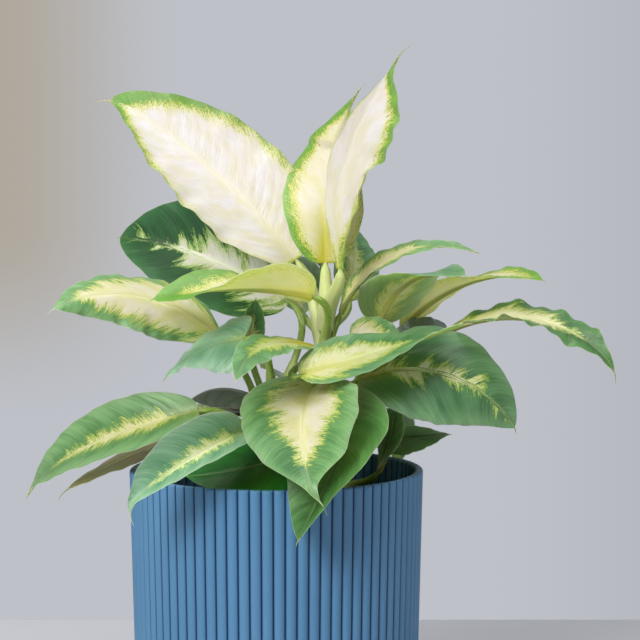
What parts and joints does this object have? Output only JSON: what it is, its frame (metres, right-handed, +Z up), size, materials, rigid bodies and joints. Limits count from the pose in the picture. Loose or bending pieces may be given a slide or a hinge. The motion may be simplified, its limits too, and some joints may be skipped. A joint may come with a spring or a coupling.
{
  "type": "potted house plant",
  "caption": "Bushy potted dieffenbachia with broad cream-and-green leaves on short canes, growing in a round reeded blue cover pot that stands on its flat foot.",
  "frame": {"origin": "centre of the pot's flat underside, on the surface that the pot stands on", "axes": "+Z up, -Y towards the plant's front, +X to the right as seen from the front"},
  "size_m": [0.3622, 0.2724, 0.4139],
  "materials": {
    "pot_glaze": "blue satin glaze",
    "soil": "dark, moist, crumbly",
    "stem": "smooth, fleshy green",
    "young_leaf": "satin cream with a thin green margin",
    "leaf": "satin green with a feathered cream middle"
  },
  "bodies": {
    "root": {"pot": "pot_glaze", "potting_soil": "soil", "stem_tall": "stem", "stem_left": "stem", "stem_right": "stem", "leaf_upper_left": "young_leaf", "leaf_upright_furled": "young_leaf", "leaf_upright_tall": "young_leaf", "leaf_behind_crown": "leaf", "leaf_back_left": "leaf", "leaf_middle_left": "leaf", "leaf_arched_left": "leaf", "leaf_small_curled": "leaf", "leaf_small_upright": "leaf", "leaf_small_splashed": "leaf", "leaf_low_left": "leaf", "leaf_under_left": "leaf", "leaf_low_back_left": "leaf", "leaf_rim_left": "leaf", "leaf_rim_front": "leaf", "leaf_front_heart": "leaf", "leaf_front_hanging": "leaf", "leaf_front_right": "leaf", "leaf_right_broad": "leaf", "leaf_right_slim": "leaf", "leaf_right_cupped": "leaf", "leaf_right_long": "leaf", "leaf_far_right": "leaf", "leaf_low_right": "leaf", "leaf_inner_right": "leaf", "leaf_inner_pale": "leaf", "leaf_back_right": "leaf", "leaf_inner_back": "leaf", "leaf_back_high": "leaf", "leaf_back_upright": "leaf", "leaf_back_broad": "leaf", "leaf_back_centre": "leaf", "leaf_back_low_left": "leaf", "leaf_back_low_right": "leaf"}
  },
  "joints": []
}
